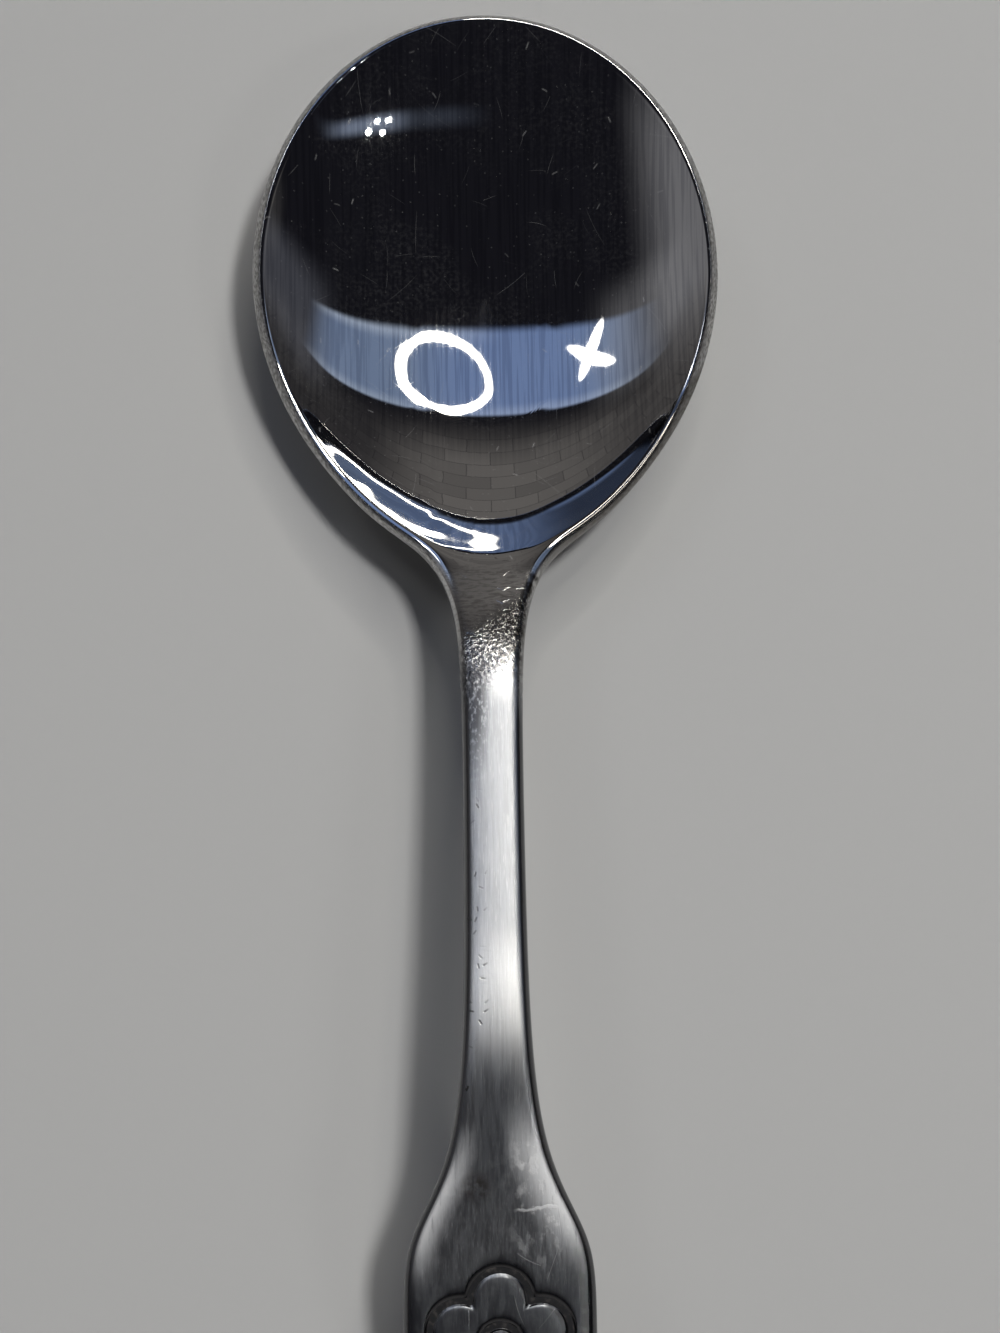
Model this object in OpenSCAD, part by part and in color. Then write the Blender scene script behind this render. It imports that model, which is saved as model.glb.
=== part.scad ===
// Baby spoon, pressed from one blank of stainless steel and divided here at its named sections.
// Lengths are in millimetres. d is the distance from the tip of the bowl along the spoon.
// The spoon lies along Y with its tip at +Y, on a table at z = 0.

/* [Overall] */
// Length from the tip of the bowl to the end of the handle
overall_l = 122; // [114:1:140]
// Tilt of the bowl's rim as the spoon lies on a table, tip up, in degrees
rim_tilt = 7; // [2:0.5:10]

/* [Bowl] */
// Width over the rim
bowl_w = 36.2; // [32:0.2:40]
// Length of the bowl's oval from tip to heel
bowl_l = 45.3; // [42:0.1:50]
// Distance from the tip to the widest place
bowl_mid = 20.7; // [18:0.1:25]
// How far the heel is drawn in from a plain ellipse, as a share
heel_taper = 0.21; // [0.05:0.01:0.3]
// Depth of the hollow below the rim
bowl_depth = 6.4; // [5:0.1:8]
// How much steeper than a plain dish the wall ends at the rim, as a share
wall_steep = 0.3; // [0:0.05:0.5]
// How much steeper still it ends at the heel, as a share
heel_steep = 0.3; // [0:0.05:0.8]
// Thickness of the pressed sheet
bowl_t = 1.2; // [0.8:0.1:1.6]
// Slope of the sheet at the rim, which the ground edge is square to, in degrees
rim_slope = 38; // [25:1:50]
// Rounding of the two corners of the rim
rim_round = 0.2; // [0.1:0.05:0.3]
// Rounding of the hollow's lip, and of the crease where the hollow runs out into the neck
lip_round = 0.3; // [0.2:0.05:0.8]
// Depth worn flat where the bowl stands on the table
seat_wear = 0.08; // [0.04:0.01:0.2]

/* [Neck and stem] */
// Distance from the bowl's heel to the steepest place of the neck
neck_gap = 4; // [3:0.5:6]
// Height of the neck's rising run there, above the table
neck_z = 10; // [8.6:0.2:12]
// Slope of that run, in degrees
neck_slope = 29; // [20:1:34]
// Distance from there to the bend into the stem
neck_bend = 1.2; // [0.8:0.1:3]
// Length of that bend
neck_bend_l = 1.6; // [0.8:0.1:2.4]
// Slope of the stem, up towards the handle, in degrees
stem_slope = 6.5; // [4:0.5:9]
// Thickness of the neck
neck_t = 2.6; // [2:0.1:3.4]
// Rounding where the back of the bowl runs into the neck
heel_round = 2.5; // [1:0.1:4]
// Distance from the steepest place to the section between bowl and neck
shoulder_end = 2; // [1:0.5:4]
// Length of the neck section
neck_l = 9; // [6:0.5:12]
// Width that the bowl's shoulders add to each side of the neck
shoulder_flare = 1.95; // [1.2:0.05:2.6]
// Length over which the shoulders die away
shoulder_l = 3.3; // [2.4:0.1:4]
// Width of the stem at its waist
stem_w = 4.3; // [3.4:0.1:6]
// Thickness of the stem
stem_t = 2.4; // [1.8:0.1:3.2]
// Rise of the stem's crowned top above its edges
stem_crown = 0.16; // [0.05:0.01:0.3]
// Rounding of the stem's long edges
stem_round = 0.75; // [0.4:0.05:0.9]

/* [Handle] */
// Width of the paddle
paddle_w = 13.1; // [11:0.1:16]
// Length of the paddle from the middle of its flare to its end
paddle_l = 28.8; // [24:0.2:34]
// Thickness of the paddle
paddle_t = 1.9; // [1.5:0.1:2.4]
// Length of the paddle's rounded end
end_l = 15; // [8:0.5:17]
// Squareness of the rounded end
end_power = 5.5; // [2:0.5:7]
// Rounding of the paddle's edges
paddle_round = 1.15; // [0.6:0.05:1.2]
// Length of the turn from the flare into the paddle's side
flare_turn = 1.2; // [0.8:0.1:2]
// Length over which the flare dies away along the stem
flare_tail = 4.4; // [3:0.1:6]
// Distance from the middle of the flare to the section between stem and handle
flare_cut = 9.2; // [6:0.2:12]
// Distance from the bend of the handle, down to the table, to the middle of the flare
handle_bend = 10.4; // [7:0.2:14]
// Length of that bend
handle_bend_l = 2.2; // [1.6:0.1:4]

/* [Stamped flower] */
// Distance from the middle of the flare to the middle of the flower
flower_inset = 7.3; // [6.5:0.1:12]
// Bare margin between the flower and the side of the paddle
flower_margin = 1.65; // [1.6:0.05:2.5]
// Radius of the ring in the middle of the flower
eye_r = 1.35; // [1:0.05:1.6]
// Width of a stamped groove
groove_w = 0.7; // [0.5:0.02:0.8]
// Depth of a stamped groove
groove_depth = 0.3; // [0.2:0.02:0.5]
// Thickness of the dark residue in a groove
residue_t = 0.08; // [0.04:0.01:0.15]

/* [Hidden] */

// How far past its own edge the bowl's oval is followed
oval_limit = 1.3;
// The ground edge of the rim leans out by rim_lean and falls by rim_drop
rim_lean = bowl_t * sin(rim_slope);
rim_drop = bowl_t * cos(rim_slope);
shell_depth = bowl_depth + bowl_t - rim_drop;
heel_l = bowl_l - bowl_mid;
// The dish of the bowl grows steeper from here to the heel
steep_from = bowl_mid + heel_l / 4;
// Width of the row of faces that the lip and the crease lie in
crease_w = 4 * rim_round;
// The outline passes over from the bowl's oval to the stem's strip between these two places
merge_from = bowl_l - 1.55 * shoulder_l;
merge_to = bowl_l - 0.2 * shoulder_l;
// The straight rim line bends up towards the neck from here
bend_d = bowl_mid + 0.3 * heel_l;
neck_d = bowl_l + neck_gap;
neck_bend_d = neck_d + neck_bend;
paddle_d = overall_l - paddle_l;
handle_bend_d = paddle_d - handle_bend;
// Sections between bowl and neck, neck and stem, stem and handle
bowl_cut = neck_d + shoulder_end;
stem_cut = bowl_cut + neck_l;
handle_cut = paddle_d - flare_cut;
// Lowest place of the tilted bowl, and the radius of the flat worn there
seat_d = bowl_mid
    + tan(rim_tilt) * (1 + wall_steep) * pow(heel_l, 2) / (2 * shell_depth * (1 + 2 * heel_taper));
seat_r = 0.8 * bowl_w / 2 * sqrt(seat_wear / shell_depth);
rim_z = tan(rim_tilt) * (seat_d - bowl_mid) + rim_drop - seat_wear + shell_depth * dish(0, seat_d, 0);
flower_d = paddle_d + flower_inset;
flower_r = paddle_w / 2 - flower_margin;

// Rise per length of the straight runs, where the handle's own run ends on the table
neck_rise = tan(neck_slope);
stem_rise = tan(stem_slope);
handle_rise = stem_rise + (paddle_t - stem_run(overall_l)) / bend(overall_l, handle_bend_d, handle_bend_l);

// Mesh counts: points round bowl and handle, points across a section, steps of the other runs
around = 80;
across = 8;
tip_steps = 16;
flank_steps = around / 2 - across / 2 - tip_steps;
end_steps = 12;
front_steps = around / 2 - across / 2 - end_steps;
core_steps = around / 4;
core_r = bowl_w / 6;
hollow_steps = 10;
land_steps = 4;
shell_steps = 10;
handle_steps = 4;
under_steps = 4;
neck_steps = 9;
stem_steps = 16;
search_steps = 24;
petals = 5;

// Small maths
function mix(a, b, u) = a + (b - a) * u;
function ease(v, from, to) = let (u = min(1, max(0, (v - from) / (to - from)))) u * u * (3 - 2 * u);
function smooth_min(a, b, k) = min(a, b) - pow(max(k - abs(a - b), 0), 2) / (4 * k);
function bend(d, at, len) = len * ln(1 + exp((d - at) / len));
function hermite(u, z0, slope0, z1, slope1, len) =
    (2 * u * u * u - 3 * u * u + 1) * z0 + (u * u * u - 2 * u * u + u) * len * slope0
    + (3 * u * u - 2 * u * u * u) * z1 + (u * u * u - u * u) * len * slope1;

// Plan outline: an oval bowl, then a slim strip that flares at both ends and stops in a rounded end
function oval_sq(d, grow) =
    let (heel = d > bowl_mid)
    let (reach = (heel ? heel_l : bowl_mid) + grow)
    let (t = min(oval_limit, (d - bowl_mid) / reach))
    let (taper = heel ? 1 - heel_taper * t * t : 1)
    pow(bowl_w / 2 + grow, 2) * (1 - t * t) * taper * taper;

function strip_hw(d) =
    let (flare = pow(1 + exp((paddle_d - d) / flare_turn), -flare_turn / flare_tail))
    stem_w / 2 + shoulder_flare * exp((bowl_l - d) / shoulder_l) + (paddle_w - stem_w) / 2 * flare;

function end_cap(d) =
    let (t = min(1, max(0, 1 - (overall_l - d) / end_l)))
    sqrt(1 - pow(t, end_power));

function half_w(d) =
    mix(sqrt(max(oval_sq(d, 0), 0)), strip_hw(d), ease(d, merge_from, merge_to)) * end_cap(d);

// Side profile: the line of the upper edges, from the tilted rim over the arched stem to the table
function neckness(d) = ease(d, bend_d, neck_d);

function rim_line(d) = rim_z - tan(rim_tilt) * (d - bowl_mid);

function stem_run(d) =
    neck_z + neck_rise * (d - neck_d) + (stem_rise - neck_rise) * bend(d, neck_bend_d, neck_bend_l);

function arch(d) = stem_run(d) + (handle_rise - stem_rise) * bend(d, handle_bend_d, handle_bend_l);

function line(d) =
    let (h = 0.01)
    d < bend_d ? rim_line(d)
    : d > neck_d ? arch(d)
    : hermite((d - bend_d) / (neck_d - bend_d), rim_line(bend_d), -tan(rim_tilt),
        arch(neck_d), (arch(neck_d + h) - arch(neck_d - h)) / (2 * h), neck_d - bend_d);

function thick(d) =
    stem_t + (neck_t - stem_t) * (1 - ease(d, neck_d, stem_cut))
    + (paddle_t - stem_t) * ease(d, handle_cut, paddle_d + flare_turn);

// Upper and lower surfaces
function dish(x, d, grow) =
    let (share = (oval_sq(d, grow) - x * x) / pow(bowl_w / 2 + grow, 2))
    let (k = wall_steep + heel_steep * ease(d, steep_from, bowl_l))
    share > 0 ? share * (1 + k) / (1 + k * share) : share * (1 + k);

function hollow(x, d) = line(d) - bowl_depth * dish(x, d, -rim_lean);

function shell(x, d) = line(d) - rim_drop - shell_depth * dish(x, d, 0);

function top(x, d) =
    let (u = x / max(half_w(d), stem_w / 2))
    smooth_min(hollow(x, d), line(d) + stem_crown * neckness(d) * (1 - u * u), lip_round);

function bottom(x, d) =
    let (clear = (1 - neckness(d)) * (neck_t + heel_round))
    max(0, smooth_min(shell(x, d), line(d) - thick(d) + clear, heel_round));

function place(p, z) = [p[0], overall_l / 2 - p[1], z];
function on_top(p) = place(p, top(p[0], p[1]));
function on_bottom(p) = place(p, bottom(p[0], p[1]));
function plan(point) = [point[0], overall_l / 2 - point[1]];

// Outline points as [x, d, inward normal x, inward normal d]
function side_point(d) =
    let (h = 0.05)
    let (s = (half_w(d + h) - half_w(d - h)) / (2 * h))
    [half_w(d), d, -1 / sqrt(1 + s * s), s / sqrt(1 + s * s)];

function cut_point(d) = [half_w(d), d, -1, 0];

function tip_point(angle) =
    let (n = [sin(angle) / (bowl_w / 2), -cos(angle) / bowl_mid])
    [bowl_w / 2 * sin(angle), bowl_mid * (1 - cos(angle)), -n[0] / norm(n), -n[1] / norm(n)];

function end_point(angle) =
    let (t = pow(sin(angle), 2 / end_power))
    let (n = [2 * cos(angle) / (paddle_w / 2), end_power * pow(t, end_power - 1) / end_l])
    [paddle_w / 2 * cos(angle), overall_l - end_l * (1 - t), -n[0] / norm(n), -n[1] / norm(n)];

function flip(p) = [-p[0], p[1], -p[2], p[3]];
function inset(p, by) = [p[0] + p[2] * by, p[1] + p[3] * by];

// The edge at an outline point, from the upper surface round two eased corners to the lower surface
function edge_round(d) =
    mix(mix(rim_round, stem_round, neckness(d)), paddle_round, ease(d, handle_cut, paddle_d + flare_turn));

function edge(p) =
    let (lean = rim_lean * (1 - neckness(p[1])), r = edge_round(p[1]))
    let (a = on_top(inset(p, lean)), b = on_bottom(p))
    let (first = on_top(inset(p, lean + r)), last = on_bottom(inset(p, r)))
    let (ease_in = (b - a) * min(0.4, r / norm(b - a)))
    [first, (first + 3 * a + ease_in) / 4, a + ease_in, b - ease_in, (last + 3 * b - ease_in) / 4, last];

// A flat section across the spoon at d, as points across its top and bottom
function across_top(d, u) = on_top(mix(plan(edge(cut_point(d))[0]), plan(edge(flip(cut_point(d)))[0]), u));
function across_bottom(d, u) =
    on_bottom(mix(plan(edge(cut_point(d))[5]), plan(edge(flip(cut_point(d)))[5]), u));

function section(d) =
    let (right = edge(cut_point(d)), left = edge(flip(cut_point(d))))
    concat(
        [right[0]], [for (j = [1 : across - 1]) across_top(d, j / across)], left,
        [for (j = [across - 1 : -1 : 1]) across_bottom(d, j / across)],
        [for (k = [5 : -1 : 1]) right[k]]);

// On a section plane the edge is replaced by a flat run from top to bottom
function cut_run(d, u) = [for (k = [0 : 5]) mix(across_top(d, u), across_bottom(d, u), k / 5)];

// Columns of points, each as long as the next, become a closed skin with flat first and last faces
function skin_faces(n, rows) = [
    for (i = [0 : n - 1]) let (j = (i + 1) % n) for (k = [0 : rows - 2])
        let (a = i * rows + k, b = j * rows + k)
        each [[a, a + 1, b + 1], [a, b + 1, b]]
];

function first_face(n, rows) = [for (i = [0 : n - 1]) i * rows];
function last_face(n, rows) = [for (i = [n - 1 : -1 : 0]) i * rows + rows - 1];
function flat_list(lists) = [for (list = lists) each list];

module skin(columns) {
    n = len(columns);
    rows = len(columns[0]);
    faces = concat([first_face(n, rows), last_face(n, rows)], skin_faces(n, rows));
    polyhedron(points = flat_list(columns), faces = faces, convexity = 6);
}

module loft(from, to, steps) {
    sections = [for (s = [0 : steps]) section(mix(from, to, s / steps))];
    skin([for (i = [0 : len(sections[0]) - 1]) [for (s = sections) s[i]]]);
}

// Bowl: a square core of the hollow, rings from there to the rim, the edge, and rings under the shell
function core_uv(j) =
    let (m = core_steps)
    j <= m / 2 ? [2 * j / m, 1]
    : j <= 3 * m / 2 ? [1, 2 - 2 * j / m]
    : j <= 5 * m / 2 ? [4 - 2 * j / m, -1]
    : j <= 7 * m / 2 ? [-1, 2 * j / m - 6]
    : [2 * j / m - 8, 1];

function core_plan(uv) =
    [core_r * uv[0] * sqrt(1 - uv[1] * uv[1] / 2), seat_d - core_r * uv[1] * sqrt(1 - uv[0] * uv[0] / 2)];

function in_hollow(p) = oval_sq(p[1], -rim_lean - crease_w / 2) > p[0] * p[0];

function hollow_end(p, q, low, high, steps) =
    let (u = (low + high) / 2)
    steps == 0 ? mix(p, q, u)
    : in_hollow(mix(p, q, u)) ? hollow_end(p, q, u, high, steps - 1)
    : hollow_end(p, q, low, u, steps - 1);

function land_share(k, land) =
    let (first = min(1 / land_steps, crease_w / land))
    first + (1 - first) * (k - 1) / (land_steps - 1);

function bowl_column(j, run) =
    let (start = core_plan(core_uv(j)), rim = plan(run[0]))
    let (brink = hollow_end(start, rim, 0, 1, search_steps))
    let (seat = [seat_r * sin(360 * j / around), seat_d - seat_r * cos(360 * j / around)])
    concat(
        [for (k = [0 : hollow_steps]) on_top(mix(start, brink, k / hollow_steps))],
        [for (k = [1 : land_steps - 1]) on_top(mix(brink, rim, land_share(k, norm(rim - brink))))],
        run,
        [for (k = [1 : shell_steps]) on_bottom(mix(plan(run[5]), seat, k / shell_steps))]);

function core_index(col, row, rows) =
    let (m = core_steps)
    row == m ? ((col - m / 2 + around) % around) * rows
    : col == m ? (3 * m / 2 - row) * rows
    : row == 0 ? (5 * m / 2 - col) * rows
    : col == 0 ? (5 * m / 2 + row) * rows
    : around * rows + (row - 1) * (m - 1) + col - 1;

module bowl() {
    side = concat(
        [for (k = [0 : tip_steps]) tip_point(90 * k / tip_steps)],
        [for (k = [1 : flank_steps - 1]) side_point(mix(bowl_mid, bowl_cut, k / flank_steps))],
        [cut_point(bowl_cut)]);
    runs = concat(
        [for (p = side) edge(p)],
        [for (j = [1 : across - 1]) cut_run(bowl_cut, j / across)],
        [for (k = [len(side) - 1 : -1 : 1]) edge(flip(side[k]))]);
    columns = [for (j = [0 : around - 1]) bowl_column(j, runs[j])];
    rows = len(columns[0]);
    m = core_steps;
    core = [for (row = [1 : m - 1]) for (col = [1 : m - 1])
        on_top(core_plan([2 * col / m - 1, 2 * row / m - 1]))];
    core_faces = [for (row = [0 : m - 1]) for (col = [0 : m - 1]) [
        core_index(col, row, rows), core_index(col, row + 1, rows),
        core_index(col + 1, row + 1, rows), core_index(col + 1, row, rows)]];
    color([0.62, 0.63, 0.66])
        polyhedron(
            points = concat(flat_list(columns), core),
            faces = concat(core_faces, [last_face(around, rows)], skin_faces(around, rows)),
            convexity = 6);
}

module neck() {
    color([0.5, 0.49, 0.48]) loft(bowl_cut, stem_cut, neck_steps);
}

module stem() {
    color([0.78, 0.78, 0.79]) loft(stem_cut, handle_cut, stem_steps);
}

// Flower: a scalloped outline of round petals and a ring in the middle, both stamped as grooves
function petal_turn(angle) = let (step = 360 / petals) angle - step * round(angle / step);

function petal_r(angle) =
    let (out = 0.58 * flower_r, r = 0.42 * flower_r)
    let (a = petal_turn(angle))
    out * cos(a) + sqrt(r * r - pow(out * sin(a), 2));

function petal_stretch(angle) =
    let (h = 1)
    let (a = abs(petal_turn(angle)))
    let (slope = (petal_r(a) - petal_r(max(a - h, 0))) / (h * PI / 180))
    sqrt(1 + pow(slope / petal_r(a), 2));

function flower_plan(r, angle) = [r * sin(angle), flower_d - r * cos(angle)];

// Four points across a groove at radius r: brink, floor, floor and brink
function groove(r, stretch, angle) =
    [for (side = [[-0.5, 0], [-0.3, 1], [0.3, 1], [0.5, 0]])
        let (p = flower_plan(r + side[0] * groove_w * stretch, angle))
        place(p, top(p[0], p[1]) - side[1] * groove_depth)];

function eye_groove(angle) = groove(eye_r, 1, angle);
function petal_groove(angle) = groove(petal_r(angle), petal_stretch(angle), angle);

function handle_column(j, run) =
    let (angle = 360 * j / around)
    let (eye = eye_groove(angle), petal = petal_groove(angle))
    let (under = flower_plan(eye_r, angle))
    concat(
        eye,
        [on_top(mix(plan(eye[3]), plan(petal[0]), 1 / 2))],
        petal,
        [for (k = [1 : handle_steps - 1]) on_top(mix(plan(petal[3]), plan(run[0]), k / handle_steps))],
        run,
        [for (k = [1 : under_steps]) on_bottom(mix(plan(run[5]), under, k / under_steps))]);

module handle() {
    side = concat(
        [cut_point(handle_cut)],
        [for (k = [1 : front_steps - 1]) side_point(mix(handle_cut, overall_l - end_l, k / front_steps))],
        [for (k = [0 : end_steps]) end_point(90 * k / end_steps)]);
    runs = concat(
        [for (j = [across / 2 : -1 : 1]) cut_run(handle_cut, j / across)],
        [for (p = side) edge(p)],
        [for (k = [len(side) - 2 : -1 : 0]) edge(flip(side[k]))],
        [for (j = [across - 1 : -1 : across / 2 + 1]) cut_run(handle_cut, j / across)]);
    color([0.5, 0.52, 0.55]) skin([for (j = [0 : around - 1]) handle_column(j, runs[j])]);
}

module residue_ring(floors) {
    lift = [0, 0, residue_t];
    points = [for (f = floors) each [f[1], f[2], f[2] + lift, f[1] + lift]];
    faces = [for (i = [0 : around - 1]) let (j = (i + 1) % around) for (k = [0 : 3]) let (n = (k + 1) % 4)
        each [[i * 4 + k, j * 4 + n, i * 4 + n], [i * 4 + k, j * 4 + k, j * 4 + n]]];
    polyhedron(points = points, faces = faces, convexity = 8);
}

module motif_lines() {
    angles = [for (j = [0 : around - 1]) 360 * j / around];
    color([0.08, 0.08, 0.09]) {
        residue_ring([for (a = angles) eye_groove(a)]);
        residue_ring([for (a = angles) petal_groove(a)]);
    }
}

bowl();
neck();
stem();
handle();
motif_lines();
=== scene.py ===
import math

import bpy
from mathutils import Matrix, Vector


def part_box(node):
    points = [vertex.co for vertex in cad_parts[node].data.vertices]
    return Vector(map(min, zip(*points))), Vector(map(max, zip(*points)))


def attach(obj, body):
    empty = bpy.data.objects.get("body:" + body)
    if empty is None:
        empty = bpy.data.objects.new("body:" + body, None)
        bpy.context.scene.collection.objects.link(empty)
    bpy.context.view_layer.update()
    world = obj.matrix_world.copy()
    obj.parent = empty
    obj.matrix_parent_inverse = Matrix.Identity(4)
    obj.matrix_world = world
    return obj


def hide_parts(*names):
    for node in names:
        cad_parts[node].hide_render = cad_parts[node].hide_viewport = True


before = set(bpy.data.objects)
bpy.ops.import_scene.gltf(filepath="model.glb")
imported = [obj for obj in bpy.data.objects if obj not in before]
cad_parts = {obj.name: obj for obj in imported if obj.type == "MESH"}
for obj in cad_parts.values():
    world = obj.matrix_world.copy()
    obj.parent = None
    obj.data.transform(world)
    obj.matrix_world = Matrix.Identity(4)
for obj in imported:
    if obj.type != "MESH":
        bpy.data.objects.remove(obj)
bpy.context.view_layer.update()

# Camera
# A hand-held view from over the handle, about 0.17 m above the table and leaning towards the bowl's tip.
# The lens is given for the 1000 by 1333 picture, whose long side takes the sensor's width.
picture_h = 1333
focal_px = 2290
sensor_w_mm = 36
nearest = 0.01
camera_place = (-0.00211, -0.03769, 0.1687)
camera_turn = [math.radians(turn) for turn in (15.89, -0.747, -0.825)]

camera_data = bpy.data.cameras.new("camera")
camera_data.sensor_width = sensor_w_mm
camera_data.lens = sensor_w_mm * focal_px / picture_h
camera_data.clip_start = nearest
camera = bpy.data.objects.new("camera", camera_data)
camera.location = camera_place
camera.rotation_euler = camera_turn
bpy.context.scene.collection.objects.link(camera)
bpy.context.scene.camera = camera
bpy.context.scene.view_settings.view_transform = "Standard"

# Blank
# The strip of stainless steel that bowl, neck, stem and handle are pressed from in one go.
# Its skin is closed over the planes between them and smoothed as a whole, and each section is cut from it,
# so that a reflection runs on across a plane without a break.
blank_nodes = ("bowl", "neck", "stem", "handle")
cut_planes = [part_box(node)[0].y for node in blank_nodes[:3]]
beyond = 1.0
weld = 1e-6
cap_depth = 1e-4
square_on = 0.9
quad_angle = math.radians(60)
smoothing_levels = 2


def select_only(*pieces):
    bpy.ops.object.select_all(action="DESELECT")
    for piece in pieces:
        piece.select_set(True)
    bpy.context.view_layer.objects.active = pieces[0]


def pick_faces(piece, wanted):
    """Leaves the piece in edit mode with the wanted faces selected."""
    select_only(piece)
    bpy.ops.object.mode_set(mode="EDIT")
    bpy.ops.mesh.select_mode(type="FACE")
    bpy.ops.mesh.select_all(action="DESELECT")
    bpy.ops.object.mode_set(mode="OBJECT")
    for face in piece.data.polygons:
        face.select = wanted(face)
    bpy.ops.object.mode_set(mode="EDIT")


def copy_of(mesh, name):
    piece = bpy.data.objects.new(name, mesh.copy())
    piece.data.name = name
    bpy.context.scene.collection.objects.link(piece)
    return piece


def on_cut(face, depth):
    return abs(face.normal.y) > square_on and any(abs(face.center.y - y) < depth for y in cut_planes)


blank_parts = [copy_of(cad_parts[node].data, "blank_" + node) for node in blank_nodes]
blank = blank_parts[0]
select_only(*blank_parts)
bpy.ops.object.join()
pick_faces(blank, lambda face: on_cut(face, weld))
bpy.ops.mesh.delete(type="FACE")
bpy.ops.mesh.select_all(action="SELECT")
bpy.ops.mesh.remove_doubles(threshold=weld)
bpy.ops.mesh.delete_loose()
bpy.ops.mesh.select_all(action="SELECT")
bpy.ops.mesh.tris_convert_to_quads(face_threshold=quad_angle, shape_threshold=quad_angle)
bpy.ops.object.mode_set(mode="OBJECT")
bpy.ops.object.shade_smooth()
smoothing = blank.modifiers.new("smoothing", "SUBSURF")
smoothing.levels = smoothing_levels
smoothing.render_levels = smoothing_levels
bpy.ops.object.modifier_apply(modifier=smoothing.name)
blank.data.materials.clear()
shading = blank.data.attributes.new("shading", "FLOAT_VECTOR", "POINT")
shading.data.foreach_set("vector", [part for point in blank.data.vertices for part in point.normal])


def section(node, low_y, high_y, material):
    """The part of the blank between two planes, closed at both, with the blank's own shading."""
    piece = copy_of(blank.data, "steel_" + node)
    pick_faces(piece, lambda face: not low_y < face.center.y < high_y)
    bpy.ops.mesh.delete(type="FACE")
    bpy.ops.mesh.select_all(action="SELECT")
    bpy.ops.mesh.fill_holes(sides=0)
    bpy.ops.object.mode_set(mode="OBJECT")
    mesh = piece.data
    skin = [Vector(item.vector) for item in mesh.attributes["shading"].data]
    normals = [None] * len(mesh.loops)
    for face in mesh.polygons:
        closing = on_cut(face, cap_depth)
        for corner in face.loop_indices:
            normals[corner] = face.normal if closing else skin[mesh.loops[corner].vertex_index]
    mesh.normals_split_custom_set(normals)
    mesh.attributes.remove(mesh.attributes["shading"])
    mesh.materials.append(material)
    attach(piece, "root")
    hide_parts(node)


# Bowl
# The pressed hollow that holds the food, with its ground rim and the heel that runs up to the neck.
# It is buffed to a mirror along its length, and use has left hairlines, dried drops and a thin haze.
# The steel of all four sections is mixed here, from what the buffing wheel and the brush left at each length,
# with painted shade and painted highlights laid over it in places.
to_mm = (1000, 1000, 1000)
bump_scale = 0.001
film_share = 0.52

mirror_ends_mm = (14.6, 16.2)
skim_ends_mm = (3.5, 9.5)
throat_shade_mm = (8.5, 12)
pebbled_mm = (6.4, 11)
pebble_slant = 0.8
edge_ends_mm = (8, 2)
edge_slope = (0.95, 0.82)
stem_sheen_mm = (-20.5, -13)
bend_shade_mm = (-29, -21)
bend_shade_x_mm = (-1.6, 0.8)

mirror_roughness = 0.025
skim_roughness = 0.17
satin_roughness = 0.42
edge_roughness = 0.16
mirror_colour = (0.63, 0.625, 0.615, 1)
satin_colour = (0.44, 0.45, 0.47, 1)
streak_colour = (0.28, 0.28, 0.29, 1)
worn_and_sheen_colour = (0.78, 0.78, 0.78, 1)
painted_shade_colour = (0.2, 0.215, 0.24, 1)
pebble_colour = (0.1, 0.1, 0.11, 1)
scuff_colour = (0.3, 0.29, 0.28, 1)
soil_and_shade_colour = (0.06, 0.055, 0.05, 1)
painted_edge_shade_colour = (0.12, 0.12, 0.125, 1)

streak_grain, streak_height = (5, 0.2, 2), 0.01
thread_grain, thread_height = (13, 0.5, 5), 0.003
pebble_grain, pebble_height = (4, 3, 4), 0.09
scuff_grain = (1.6, 6, 2)
soil_grain = (2.4, 1.6, 2)
nick_depth = 0.01


class Wire:
    """A socket of a shader tree that takes part in expressions."""

    def __init__(self, tree, socket=None):
        self.tree = tree
        self.socket = socket

    def node(self, kind, settings, sockets, *outputs):
        made = self.tree.nodes.new("ShaderNode" + kind)
        for key, value in settings.items():
            setattr(made, key, value)
        for key, value in sockets.items():
            if isinstance(value, Wire):
                self.tree.links.new(value.socket, made.inputs[key])
            else:
                made.inputs[key].default_value = value
        wires = [Wire(self.tree, made.outputs[name]) for name in outputs or (0,)]
        return wires if len(wires) > 1 else wires[0]

    def math(self, operation, *values):
        return self.node("Math", {"operation": operation}, dict(enumerate((self, *values))))

    def __add__(self, other):
        return self.math("ADD", other)

    def __sub__(self, other):
        return self.math("SUBTRACT", other)

    def __rsub__(self, other):
        return -self + other

    def __mul__(self, other):
        return self.math("MULTIPLY", other)

    def __truediv__(self, other):
        return self.math("DIVIDE", other)

    def __neg__(self):
        return self * -1

    def __abs__(self):
        return self.math("ABSOLUTE")

    __radd__ = __add__
    __rmul__ = __mul__

    def rise(self, low, high):
        """Mask that goes from 0 at the first value to 1 at the second."""
        sockets = {"Value": self, "From Min": low, "From Max": high}
        return self.node("MapRange", {"interpolation_type": "SMOOTHSTEP"}, sockets)

    def between(self, low, high, soft):
        return self.rise(low - soft, low + soft) * (1 - self.rise(high - soft, high + soft))

    def vector(self, operation, *values):
        return self.node("VectorMath", {"operation": operation}, dict(enumerate((self, *values))))

    def measure(self, operation, *values):
        return self.node("VectorMath", {"operation": operation}, dict(enumerate((self, *values))), "Value")

    def split(self):
        return self.node("SeparateXYZ", {}, {0: self}, "X", "Y", "Z")

    def towards(self, colour, mask):
        """This colour mixed with another one where the mask says so."""
        return self.node("Mix", {"data_type": "RGBA"}, {0: mask, 6: self, 7: colour}, 2)

    def blend(self, value, mask):
        return self - (self - value) * mask

    def noise(self, grains_per_mm, detail=2):
        sockets = {"Vector": self.vector("MULTIPLY", grains_per_mm), "Scale": 1, "Detail": detail}
        return self.node("TexNoise", {}, sockets)


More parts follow.
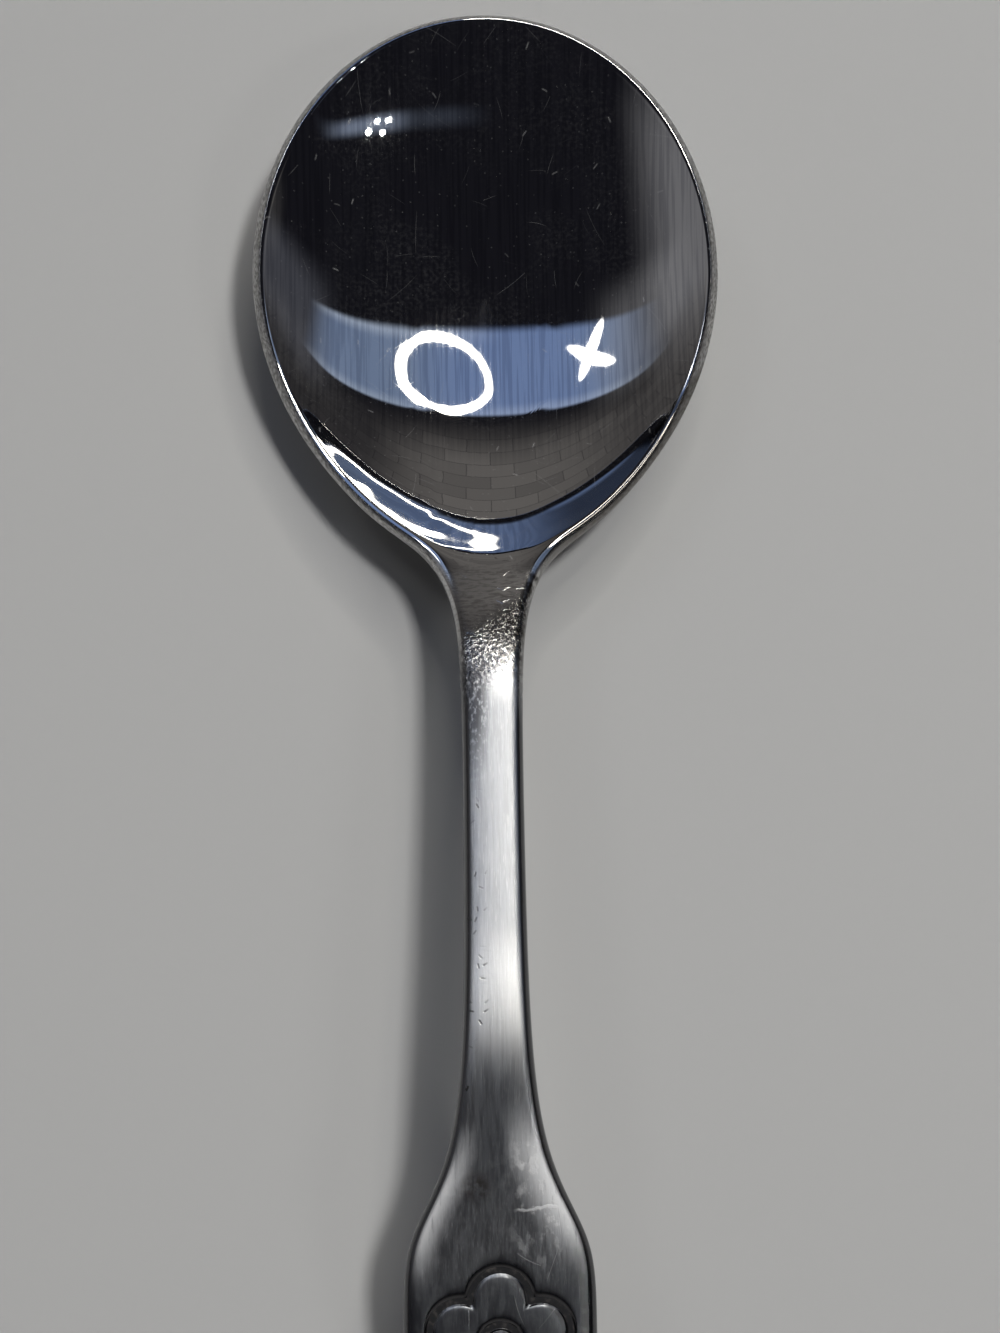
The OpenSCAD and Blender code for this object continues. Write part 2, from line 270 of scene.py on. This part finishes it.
def hairlines(place, cell, length, width, share, shift=0.0):
    """Mask of fine lines, one of random place, turn and bow in a share of the cells of a plane grid."""
    flat = place.vector("MULTIPLY_ADD", (1 / cell, 1 / cell, 0), (shift, shift, 0))
    cells = {"Vector": flat, "Scale": 1}
    chance, centre = flat.node("TexVoronoi", {"voronoi_dimensions": "2D"}, cells, "Color", "Position")
    turn, shown, bow = chance.split()
    x, y, _ = flat.vector("SUBTRACT", centre).split()
    angle = turn * math.pi
    along = (x * angle.math("COSINE") + y * angle.math("SINE")) * cell
    across = (y * angle.math("COSINE") - x * angle.math("SINE")) * cell
    across = across + (bow - 0.5) * along * along * (0.5 / length)
    line = 1 - abs(across).rise(width * 0.3, width)
    return line * (1 - abs(along).rise(length * 0.2, length * 0.5)) * shown.rise(1 - share, 1)


def spot(place, centre, radius, soft):
    """Mask of a round patch seen from above."""
    away = place.vector("SUBTRACT", (*centre, 0)).vector("MULTIPLY", (1, 1, 0)).measure("LENGTH")
    return 1 - away.rise(radius - soft, radius + soft)


def steel(name, marks):
    """Stainless steel with the finish of its place along the spoon, and the marks of one section on it."""
    material = bpy.data.materials.new(name)
    material.use_nodes = True
    start = Wire(material.node_tree)
    place, facing = start.node("TexCoord", {}, {}, "Object", "Normal")
    place = place.vector("MULTIPLY", to_mm)
    x, along, _ = place.split()
    to_right, _, upwards = facing.split()

    mirror = along.rise(*mirror_ends_mm)
    skimmed = along.rise(*skim_ends_mm)
    satin = 1 - skimmed
    throat = skimmed * (1 - mirror)
    pebbled = (along - x * pebble_slant).between(*pebbled_mm, soft=1.6)
    # Painted shade over the middle of the bend between stem and handle.
    bend_shade = along.between(*bend_shade_mm, soft=2.5) * x.between(*bend_shade_x_mm, soft=0.8)
    # The steep sides behind the bowl get painted shade, and a lower roughness.
    edge = abs(upwards).rise(*edge_slope) * along.rise(*edge_ends_mm)

    streaks = place.noise(streak_grain, detail=4)
    threads = place.noise(thread_grain)
    pebbles = place.noise(pebble_grain, detail=3)
    scuffs = place.noise(scuff_grain, detail=4)
    nicks = hairlines(place, cell=1.3, length=0.9, width=0.05, share=0.6, shift=1.3) * throat
    # Patches on the throat's right-facing flank, partly soil and partly painted shade.
    soil_and_shade = to_right.rise(0.08, 0.3) * place.noise(soil_grain, detail=4).rise(0.35, 0.6) * throat
    # Painted shade across the throat, darker towards the right.
    shade = along.between(*throat_shade_mm, soft=1.6) * (x.rise(-0.5, 2) * 0.4 + 0.3)

    tone = start.node("RGB", {}, {})
    tone.socket.default_value = satin_colour
    tone = tone.towards(streak_colour, streaks.rise(0.62, 0.38) * 0.5)
    tone = tone.towards(worn_and_sheen_colour, threads.rise(0.55, 0.7) * 0.3)
    # A band of the stem is painted lighter, as a painted sheen.
    tone = tone.towards(worn_and_sheen_colour, along.between(*stem_sheen_mm, soft=2.5) * 0.6)
    tone = tone.towards(mirror_colour, skimmed)
    # Painted shade at the bend.
    tone = tone.towards(painted_shade_colour, bend_shade * 0.45)
    tone = tone.towards(pebble_colour, pebbles.rise(0.6, 0.46) * pebbled * 0.9)
    tone = tone.towards(scuff_colour, scuffs.rise(0.45, 0.65) * throat * 0.8)
    tone = tone.towards(worn_and_sheen_colour, nicks * 0.6)
    tone = tone.towards(soil_and_shade_colour, soil_and_shade.math("MAXIMUM", shade))

    roughness = skimmed * (skim_roughness - satin_roughness) + satin_roughness
    roughness = (roughness + (streaks - 0.5) * satin * 0.25).blend(mirror_roughness, mirror)
    roughness = roughness + (scuffs - 0.5) * throat * 0.2

    height = (streaks - 0.5) * satin * streak_height + (threads - 0.5) * satin * thread_height
    height = height + (pebbles - 0.5) * pebbled * pebble_height - nicks * nick_depth

    tone, roughness, height, film = marks(place, facing, mirror, tone, roughness, height)
    # Painted shade on the steep sides.
    tone = tone.towards(painted_edge_shade_colour, edge)
    roughness = roughness.blend(edge_roughness, edge)
    bare = 1 - (film + nicks * 0.1) * (1 - edge) * film_share
    bump = start.node("Bump", {}, {"Height": height, "Distance": bump_scale})
    shader = material.node_tree.nodes["Principled BSDF"]
    looks = {"Base Color": tone, "Roughness": roughness, "Metallic": bare, "Normal": bump}
    for socket, wire in looks.items():
        material.node_tree.links.new(wire.socket, shader.inputs[socket])
    return material


bowl_centre_mm = (0, 40.3, 0)
brushed_ends_mm = (24, 31)
brushed_colour = (0.44, 0.44, 0.45, 1)
brush_grain, brush_height = (3.8, 0.1, 0), 0.0003
haze_grain, dust_grain = (0.16, 0.16, 0.16), (3.5, 3.5, 3.5)
side_dust_mm, side_dust_grain = (-15, 33), (0.8, 0.5, 0.8)
dried_mm, dried_grain = (-2.4, 38.8), (1, 1, 1)
wear_roughness = 0.2
shade_strip_y_mm, shade_strip_bow = 20, 0.045
strip_shade_colour, dulled_roughness = (0.1, 0.09, 0.08, 1), 0.08
rim_and_shade_colour, rim_roughness, rim_grain = (0.26, 0.255, 0.245, 1), 0.3, (3, 3, 9)


def bowl_marks(place, facing, mirror, tone, roughness, height):
    x, y, _ = place.split()
    buffed = mirror * y.rise(*brushed_ends_mm)
    brushing = place.noise(brush_grain, detail=3)
    tone = tone.towards(brushed_colour, brushing.rise(0.56, 0.4) * buffed * 0.8)
    roughness = roughness + brushing.rise(0.45, 0.7) * buffed * 0.02
    height = height + (brushing - 0.5) * buffed * brush_height

    haze = place.noise(haze_grain, detail=3).rise(0.42, 0.7)
    dust = haze * place.noise(dust_grain, detail=3).rise(0.4, 0.75)
    side_dust = place.noise(side_dust_grain, detail=4).rise(0.4, 0.65)
    dust = dust + spot(place, side_dust_mm, radius=3.5, soft=2.5) * side_dust
    lines = hairlines(place, cell=2.2, length=1.8, width=0.03, share=0.45)
    lines = lines + hairlines(place, cell=4.5, length=4, width=0.032, share=0.5, shift=3.7)
    specks = hairlines(place, cell=0.8, length=0.16, width=0.07, share=0.5, shift=8.3)
    chips = hairlines(place, cell=2.8, length=0.6, width=0.08, share=0.4, shift=6.1)
    dried = place.noise(dried_grain).between(0.495, 0.505, soft=0.008)
    dried = spot(place, dried_mm, radius=0.9, soft=0.7) * dried
    wear = (lines + specks * 0.7 + dried + chips * 2).math("MINIMUM", 2) * mirror

    # Painted shade over the bowl's right side towards the heel, which is also made a little rougher.
    dulled_shade_strip = (shade_strip_y_mm + x * x * shade_strip_bow - y).rise(-0.3, 0.3) * x.rise(1, 7) * mirror
    tone = tone.towards(strip_shade_colour, dulled_shade_strip * 0.9)
    outward = place.vector("SUBTRACT", bowl_centre_mm).vector("MULTIPLY", (1, 1, 0)).vector("NORMALIZE")
    outward = outward.measure("DOT_PRODUCT", facing)
    rim = outward.rise(0.02, 0.3) * facing.split()[2].rise(-0.3, 0) * mirror
    # The ground rim band is darkened, partly as ground steel and partly as painted shade.
    tone = tone.towards(rim_and_shade_colour, rim * place.noise(rim_grain, detail=3).rise(0.35, 0.65))
    roughness = roughness.blend(wear_roughness, wear * 0.3)
    roughness = roughness.blend(dulled_roughness, dulled_shade_strip * 0.8).blend(rim_roughness, rim)
    return tone, roughness, height, wear * 0.13 + dust * mirror * 0.03


section("bowl", cut_planes[0], beyond, steel("polished_steel", bowl_marks))

# Neck
# The short rising throat behind the bowl, pressed with it from the same strip.
# The buffing wheel only skims it, so the mirror breaks up here into a pebbled skin and then into satin.
# The throat carries painted shade, darker towards the right, and the left side of neck and stem a mottled
# painted shade.
left_shade_colour = (0.06, 0.06, 0.065, 1)
left_shade_film = 0.05
left_shade_mm = (-19, 8)
left_shade_slant = 0.045
left_shade_grain = (4.5, 2.4, 4)


def mottled_left_shade(place):
    """Mask of the mottled painted shade along the left side of neck and stem."""
    x, y, _ = place.split()
    strip = 1 - (x - y * left_shade_slant).rise(-1.3, -0.1)
    patches = place.noise(left_shade_grain, detail=3).rise(0.3, 0.52)
    return strip * patches * y.between(*left_shade_mm, soft=2.5) * (y.rise(-3, 4) * 0.88 + 0.12)


def neck_marks(place, facing, mirror, tone, roughness, height):
    mottled_shade = mottled_left_shade(place)
    # Mottled painted shade darkens the left side.
    return tone.towards(left_shade_colour, mottled_shade * 0.9), roughness, height, mottled_shade * left_shade_film


section("neck", cut_planes[1], cut_planes[0], steel("neck_steel", neck_marks))

# Stem
# The slim shank, the same strip with a slightly crowned top and rounded edges.
# It is brushed lengthwise, its left side carries a mottled painted shade, and small dark pits follow that
# side.
pit_x_mm, pit_y_mm = (-2, -0.7), (-20, -2)
pit_depth = 0.02
pale_x_mm, pale_y_mm = (-1.6, -0.3), (-18.5, -1)
pale_film = 0.25


def stem_marks(place, facing, mirror, tone, roughness, height):
    x, y, _ = place.split()
    mottled_shade = mottled_left_shade(place)
    pits = hairlines(place, cell=0.8, length=0.5, width=0.09, share=0.8, shift=5.1)
    pits = pits * x.between(*pit_x_mm, soft=0.3) * y.between(*pit_y_mm, soft=2)
    pale = (1 - x.rise(*pale_x_mm)) * y.between(*pale_y_mm, soft=3) * (1 - pits)
    # Mottled painted shade darkens the left side, and the dark pits follow it.
    tone = tone.towards(left_shade_colour, mottled_shade * 0.9).towards(soil_and_shade_colour, pits * 0.8)
    return tone, roughness, height - pits * pit_depth, mottled_shade * left_shade_film + pale * pale_film


section("stem", cut_planes[2], cut_planes[1], steel("satin_steel", stem_marks))

# Handle
# The flat paddle that is held, the widened end of the strip with the picture's grooves struck into its top.
# It is brushed lengthwise, handling has smeared it and left a brown stain, and its sides carry a painted
# highlight.
stem_w_mm, paddle_w_mm, paddle_y_mm = 4.3, 13.1, -32.2
flare_turn_mm, flare_tail_mm = 1.2, 4.4
handled_mm = (-60, -26)
smear_grain = (1.5, 1.1, 1.3)
smear_x_mm, smear_y_mm = (1, 4.4), (-34, -25)
gouge_x_mm, gouge_y_mm = (1.1, 3.8), -31
gouge_rise, gouge_wave = 0.1, 0.6
gouge_grain = (1.5, 1.5, 1.5)
stain_mm, stain_grain = (-1.5, -29.3), (1.2, 1.2, 1.2)
stain_colour = (0.1, 0.07, 0.045, 1)
side_highlight_mm = (-34.4, -27)
highlight_left_mm, highlight_right_mm, highlight_higher_mm = 2.4, 3.6, 1.4
highlight_grain = (4, 0.5, 2)
flower_shade_mm = (-43, -35)


def handle_marks(place, facing, mirror, tone, roughness, height):
    x, y, _ = place.split()
    handled = y.between(*handled_mm, soft=2)
    smears = place.noise(smear_grain, detail=5).rise(0.5, 0.68) * handled
    smears = smears * (x.between(*smear_x_mm, soft=0.8) * y.between(*smear_y_mm, soft=2) * 0.8 + 0.2)
    lines = hairlines(place, cell=3, length=2.8, width=0.04, share=0.6, shift=2.2) * handled
    gouge = abs(y - x * gouge_rise - gouge_y_mm + (place.noise(gouge_grain) - 0.5) * gouge_wave)
    gouge = (1 - gouge.rise(0.04, 0.16)) * x.between(*gouge_x_mm, soft=0.3)
    stain = spot(place, stain_mm, radius=0.7, soft=0.7) * place.noise(stain_grain, detail=3).rise(0.3, 0.55)

    flare = 1 + ((y - paddle_y_mm) / flare_turn_mm).math("EXPONENT")
    flare = flare.math("POWER", -flare_turn_mm / flare_tail_mm)
    half_w = (flare * (paddle_w_mm - stem_w_mm) + stem_w_mm) / 2
    # A painted highlight along both sides of the flare, wider on the right.
    right = x.rise(-1, 1)
    reach = right * (highlight_right_mm - highlight_left_mm) + highlight_left_mm
    side_highlight = 1 - ((half_w - abs(x)) / reach).rise(0.2, 1.05)
    side_highlight = side_highlight * (y - right * highlight_higher_mm).between(*side_highlight_mm, soft=2.4)
    side_highlight = side_highlight * place.noise(highlight_grain, detail=4).rise(0.15, 0.45)
    # Painted shade on the right-facing flank of the paddle's lower end.
    painted_flank_shade = facing.split()[0].rise(0.1, 0.22) * y.rise(-31.5, -34)

    # Painted shade over the middle of the flower.
    tone = tone.towards(painted_shade_colour, y.between(*flower_shade_mm, soft=1.2) * 0.45)
    tone = tone.towards(painted_edge_shade_colour, painted_flank_shade * 0.8)
    tone = tone.towards(worn_and_sheen_colour, (smears * 0.6 + side_highlight).math("MINIMUM", 1))
    tone = tone.towards(worn_and_sheen_colour, (lines + gouge).math("MINIMUM", 1) * 0.7)
    tone = tone.towards(stain_colour, stain * 0.8)
    roughness = roughness + smears * 0.12 + side_highlight * 0.15 + gouge * 0.1
    height = height - lines * 0.01 + gouge * 0.02 + smears * 0.01
    return tone, roughness, height, smears * 0.12 + lines * 0.1 + gouge * 0.3 + side_highlight * 0.9


section("handle", -beyond, cut_planes[2], steel("handle_steel", handle_marks))
bpy.data.objects.remove(blank)

# Groove shade
# A dark matt sheet of painted shade in the bottom of the struck grooves, where the shade falls.
# It is lighter in places, and it stays where the grooves hold it.
groove_shade_colour = (0.008, 0.008, 0.009, 1)
lighter_shade_colour = (0.05, 0.045, 0.042, 1)
groove_shade_grain, groove_shade_height = (2.2, 2.2, 2.2), 0.02

groove_shade_material = bpy.data.materials.new("groove_residue")
groove_shade_material.use_nodes = True
start = Wire(groove_shade_material.node_tree)
place = start.node("TexCoord", {}, {}, "Object").vector("MULTIPLY", to_mm)
shade_patches = place.noise(groove_shade_grain, detail=4)
tone = start.node("RGB", {}, {})
tone.socket.default_value = groove_shade_colour
tone = tone.towards(lighter_shade_colour, shade_patches.rise(0.5, 0.75))
bump = start.node("Bump", {}, {"Height": shade_patches * groove_shade_height, "Distance": bump_scale})
shader = groove_shade_material.node_tree.nodes["Principled BSDF"]
for socket, wire in {"Base Color": tone, "Roughness": shade_patches * 0.3 + 0.55, "Normal": bump}.items():
    groove_shade_material.node_tree.links.new(wire.socket, shader.inputs[socket])
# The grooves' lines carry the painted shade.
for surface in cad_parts["motif_lines"].material_slots:
    surface.material = groove_shade_material

# Floor
# The plain pale table top that the spoon lies on.
# It is smooth and matt, and carries on past every edge of the picture.
table_size = 40
table_colour = (0.322, 0.32, 0.315, 1)
table_roughness = 0.65

bpy.ops.object.select_all(action="DESELECT")
bpy.ops.mesh.primitive_plane_add(size=table_size)
floor = bpy.context.object
floor.name = "floor"
table = bpy.data.materials.new("table_top")
table.use_nodes = True
shader = table.node_tree.nodes["Principled BSDF"]
shader.inputs["Base Color"].default_value = table_colour
shader.inputs["Roughness"].default_value = table_roughness
floor.data.materials.append(table)

# Light
# A dark room with a ring lamp and a small star-shaped lamp before a long bluish screen, past the bowl's tip.
# A pale wall stands to the left, four small lamps hang behind on the right, and the low horizon is boarded.
# Directions are two angles in degrees: lean, from straight up towards the bowl's tip, and side, to the right.
room_colour = (0.0105, 0.0105, 0.0145, 1)
backdrop_colour = (0.42, 0.415, 0.41, 1)
screen_low_lean, screen_low_bow = 17.4, 0.0048
screen_high_lean, screen_high_bow = 40.5, 0.0046
streak_lean = -29
dot_places = ((37.6, -26.9), (32.5, -26.3), (34.7, -29.8), (30.9, -29.6))
dot_side_r, dot_lean_r = 0.85, 0.6
board_w, board_h, board_gap = 11, 5, 0.12
board_greys = {"Color1": (1, 1, 1, 1), "Color2": (0.75, 0.75, 0.75, 1), "Mortar": (0.4, 0.4, 0.4, 1)}

world = bpy.data.worlds.new("studio")
world.use_nodes = True
bpy.context.scene.world = world
start = Wire(world.node_tree)
right, ahead, up = start.node("TexCoord", {}, {}, "Generated").split()
side = right.math("ARCSINE").math("DEGREES")
lean = ahead.math("ARCTAN2", up).math("DEGREES")


def oval(side_at, lean_at, side_r, lean_r, soft=0.1, turn=0.0):
    """Mask of an oval in the room, turned by an angle in degrees."""
    cos, sin = math.cos(math.radians(turn)), math.sin(math.radians(turn))
    away_side, away_lean = side - side_at, lean - lean_at
    along = (away_side * cos + away_lean * sin) / side_r
    beside = (away_lean * cos - away_side * sin) / lean_r
    return 1 - (along * along + beside * beside).rise(1 - soft, 1 + soft)


over_low = lean - (screen_low_lean + side * side * screen_low_bow)
over_high = lean - (screen_high_lean + side * side * screen_high_bow)
screen = over_low.rise(-1.2, 1.2) * (1 - over_high.rise(-0.8, 0.8))
screen = screen * (1 - side.rise(43, 54)) * (1 - (-side).rise(28, 54))
screen_middle = screen * side.between(-28, 14, soft=12)
screen_edges = screen * (over_high.rise(-5, 0) + (1 - over_low.rise(0, 4)) * side.rise(-5, 12) * 1.5)
ring = oval(12, 30, 12.6, 11) * (1 - oval(11.6, 29.3, 11.1, 8.7))
star = oval(-28.2, 28, 6.6, 1.75, soft=0.4, turn=60)
star = star.math("MAXIMUM", oval(-28.3, 30.3, 8.2, 1.4, soft=0.4, turn=140))
streak = 1 - abs(lean - streak_lean).rise(0.3, 4)
streak = streak * (side.between(28, 50, soft=7) + side.between(5, 30, soft=9) * 0.15)
dots = sum(oval(*at, dot_side_r, dot_lean_r, soft=0.3) for at in dot_places)
left_wall = (-side).rise(41, 65) * lean.between(-50, 60, soft=20)
left_panel = (-side).between(32, 60, soft=8) * lean.between(18, 48, soft=8)
right_panel = side.rise(40, 56) * lean.between(22, 62, soft=10)
low_walls = (-lean).rise(62, 80).math("MAXIMUM", side.rise(66, 80))
horizon = lean.rise(41, 62) * (1 - lean.rise(86, 96))
horizon = horizon * (1 - side.rise(10, 32) * 0.8) * (1 - (-side).rise(5, 42) * 0.5)
horizon = horizon * start.node("TexBrick", {}, {
    "Vector": start.node("CombineXYZ", {}, {"X": side, "Y": lean}),
    "Scale": 1, "Brick Width": board_w, "Row Height": board_h,
    "Mortar Size": board_gap, "Mortar Smooth": 0.5, **board_greys})

light = start.node("RGB", {}, {})
light.socket.default_value = room_colour
for mask, colour, strength in (
    (screen, (0.19, 0.26, 0.41), 1),
    (screen_middle, (0.0, 0.02, 0.11), 1),
    (screen_edges, (0.16, 0.17, 0.17), 1),
    (left_wall, (0.19, 0.19, 0.2), 1),
    (left_panel, (0.11, 0.11, 0.115), 1),
    (right_panel, (0.06, 0.063, 0.075), 1),
    (low_walls, (0.22, 0.212, 0.2), 1),
    (horizon, (0.15, 0.141, 0.132), 1),
    (streak, (0.22, 0.265, 0.36), 1),
    (dots, (1.0, 1.0, 0.97), 140),
    (ring, (1.0, 0.96, 0.86), 31),
    (star, (1.0, 0.99, 0.96), 10),
):
    power = light.node("VectorMath", {"operation": "SCALE"}, {0: colour, "Scale": mask * strength})
    light = light.vector("ADD", power)
light = light.towards(backdrop_colour, start.node("LightPath", {}, {}, "Is Camera Ray"))
world.node_tree.links.new(light.socket, world.node_tree.nodes["Background"].inputs["Color"])

# Key light
# A small soft square lamp, almost straight above and a little to the right, that lights the table.
# It throws the narrow shadow to the left, and isn't mirrored in the steel, which shows the room alone.
key_side, key_lean = math.radians(17), math.radians(3)
key_distance, key_size, key_power = 0.8, 0.09, 4.6

key_data = bpy.data.lights.new("key", "AREA")
key_data.size = key_size
key_data.energy = key_power
key = bpy.data.objects.new("key", key_data)
towards_tip, upright = math.cos(key_side) * math.sin(key_lean), math.cos(key_side) * math.cos(key_lean)
aim = Vector((math.sin(key_side), towards_tip, upright))
key.location = aim * key_distance
key.rotation_euler = aim.to_track_quat("Z", "Y").to_euler()
key.visible_glossy = False
key.visible_camera = False
bpy.context.scene.collection.objects.link(key)
